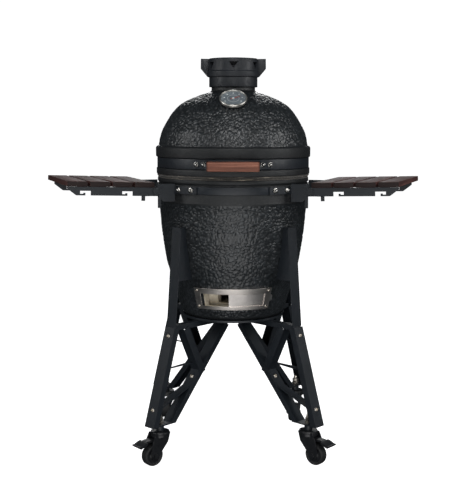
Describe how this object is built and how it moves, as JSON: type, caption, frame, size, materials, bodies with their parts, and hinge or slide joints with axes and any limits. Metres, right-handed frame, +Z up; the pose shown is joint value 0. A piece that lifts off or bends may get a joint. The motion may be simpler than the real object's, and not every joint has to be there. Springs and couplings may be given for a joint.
{
  "type": "kamado ceramic grill",
  "caption": "Egg-shaped ceramic charcoal grill with hinged dome, top vent, thermometer and draft door, on a splayed steel truss stand with casters and folding slatted side tables.",
  "frame": {"origin": "on the floor, under the middle of the grill's footprint box", "axes": "+Z up, the handle, thermometer and draft door face -Y, +X to the right as seen from the front"},
  "size_m": [1.1658, 0.583, 1.203],
  "materials": {
    "ceramic_glaze": "satin dimpled glaze",
    "fireclay": "unglazed, matte",
    "felt": "woven gasket, matte",
    "painted_steel": "fine satin powder coat",
    "cast_iron": "coated casting, matte",
    "stainless": "brushed",
    "chrome": "polished",
    "zinc_steel": "zinc plated",
    "dial": "printed dial behind glass",
    "handle_wood": "oiled, rounded",
    "slat_wood": "oiled, planed",
    "caster_black": "black",
    "tyre_rubber": "matte"
  },
  "bodies": {
    "grill": {"base_shell": "ceramic_glaze", "fire_bowl": "fireclay", "fire_ring": "fireclay", "base_gasket": "felt", "base_band": "painted_steel", "charcoal_grate": "cast_iron", "cooking_grate": "stainless", "draft_frame": "stainless", "hinge_lower_bracket": "painted_steel", "hinge_pin": "zinc_steel", "hinge_spring_left": "zinc_steel", "hinge_spring_right": "zinc_steel", "cross_frame": "painted_steel", "support_ring": "painted_steel", "table_left_bracket_front": "painted_steel", "table_left_bracket_rear": "painted_steel", "table_right_bracket_front": "painted_steel", "table_right_bracket_rear": "painted_steel", "upper_leg_front_left": "painted_steel", "lower_leg_front_left": "painted_steel", "upper_leg_front_right": "painted_steel", "lower_leg_front_right": "painted_steel", "upper_leg_rear_right": "painted_steel", "lower_leg_rear_right": "painted_steel", "upper_leg_rear_left": "painted_steel", "lower_leg_rear_left": "painted_steel"},
    "lid": {"lid_dome": "ceramic_glaze", "lid_band": "painted_steel", "lid_gasket": "felt", "handle_grip": "handle_wood", "handle_bracket_left": "painted_steel", "handle_bracket_right": "painted_steel", "thermometer_case": "chrome", "thermometer_dial": "dial", "vent_sleeve": "cast_iron", "hinge_upper_bracket": "painted_steel"},
    "vent_cap": {"vent_cap": "cast_iron"},
    "draft_door": {"draft_door": "stainless"},
    "table_left": {"table_left_arm_front": "painted_steel", "table_left_arm_rear": "painted_steel", "table_left_slat_1": "slat_wood", "table_left_slat_2": "slat_wood", "table_left_slat_3": "slat_wood", "table_left_slat_4": "slat_wood"},
    "table_right": {"table_right_arm_front": "painted_steel", "table_right_arm_rear": "painted_steel", "table_right_slat_1": "slat_wood", "table_right_slat_2": "slat_wood", "table_right_slat_3": "slat_wood", "table_right_slat_4": "slat_wood"},
    "fork_front_left": {"caster_fork_front_left": "caster_black"},
    "wheel_front_left": {"caster_wheel_front_left": "tyre_rubber"},
    "fork_front_right": {"caster_fork_front_right": "caster_black"},
    "wheel_front_right": {"caster_wheel_front_right": "tyre_rubber"},
    "fork_rear_right": {"caster_fork_rear_right": "caster_black"},
    "wheel_rear_right": {"caster_wheel_rear_right": "tyre_rubber"},
    "fork_rear_left": {"caster_fork_rear_left": "caster_black"},
    "wheel_rear_left": {"caster_wheel_rear_left": "tyre_rubber"},
    "brake_front_left": {"caster_brake_front_left": "caster_black"},
    "brake_front_right": {"caster_brake_front_right": "caster_black"}
  },
  "joints": [
    {"name": "lid_hinge", "type": "hinge", "parent": "grill", "child": "lid", "pos_m": [0, 0.2805, 0.843], "axis": [-1, 0, 0], "range_deg": [0, 70], "stiffness_Nm_per_rad": 20, "springref_deg": 97.4},
    {"name": "vent_turn", "type": "hinge", "parent": "lid", "child": "vent_cap", "pos_m": [0, 0.0055, 1.167], "axis": [0, 0, 1], "range_deg": [0, 30]},
    {"name": "draft_slide", "type": "hinge", "parent": "grill", "child": "draft_door", "pos_m": [0, 0.0055, 0.477], "axis": [0, 0, 1], "range_deg": [-21, 0]},
    {"name": "table_left_fold", "type": "hinge", "parent": "grill", "child": "table_left", "pos_m": [-0.2105, -0.1825, 0.8075], "axis": [0.3387, -0.9409, 0], "range_deg": [0, 90]},
    {"name": "table_right_fold", "type": "hinge", "parent": "grill", "child": "table_right", "pos_m": [0.2105, -0.1825, 0.8075], "axis": [0.3387, 0.9409, 0], "range_deg": [0, 90]},
    {"name": "swivel_front_left", "type": "hinge", "parent": "grill", "child": "fork_front_left", "pos_m": [-0.21339, -0.21937, 0.1], "axis": [0, 0, 1], "continuous": true},
    {"name": "roll_front_left", "type": "hinge", "parent": "fork_front_left", "child": "wheel_front_left", "pos_m": [-0.23515, -0.23699, 0.031], "axis": [0.6293, -0.7771, 0], "continuous": true},
    {"name": "brake_press_front_left", "type": "hinge", "parent": "fork_front_left", "child": "brake_front_left", "pos_m": [-0.21728, -0.22251, 0.075], "axis": [0.6293, -0.7771, 0], "range_deg": [0, 10]},
    {"name": "swivel_front_right", "type": "hinge", "parent": "grill", "child": "fork_front_right", "pos_m": [0.22487, -0.20789, 0.1], "axis": [0, 0, 1], "continuous": true},
    {"name": "roll_front_right", "type": "hinge", "parent": "fork_front_right", "child": "wheel_front_right", "pos_m": [0.24663, -0.22551, 0.031], "axis": [0.6293, 0.7771, 0], "continuous": true},
    {"name": "brake_press_front_right", "type": "hinge", "parent": "fork_front_right", "child": "brake_front_right", "pos_m": [0.22875, -0.21104, 0.075], "axis": [0.6293, 0.7771, 0], "range_deg": [0, 10]},
    {"name": "swivel_rear_right", "type": "hinge", "parent": "grill", "child": "fork_rear_right", "pos_m": [0.21339, 0.23037, 0.1], "axis": [0, 0, 1], "continuous": true},
    {"name": "roll_rear_right", "type": "hinge", "parent": "fork_rear_right", "child": "wheel_rear_right", "pos_m": [0.20614, 0.20332, 0.031], "axis": [0.9659, -0.2588, 0], "continuous": true},
    {"name": "swivel_rear_left", "type": "hinge", "parent": "grill", "child": "fork_rear_left", "pos_m": [-0.22487, 0.21889, 0.1], "axis": [0, 0, 1], "continuous": true},
    {"name": "roll_rear_left", "type": "hinge", "parent": "fork_rear_left", "child": "wheel_rear_left", "pos_m": [-0.23536, 0.24485, 0.031], "axis": [-0.9272, -0.3746, 0], "continuous": true}
  ]
}
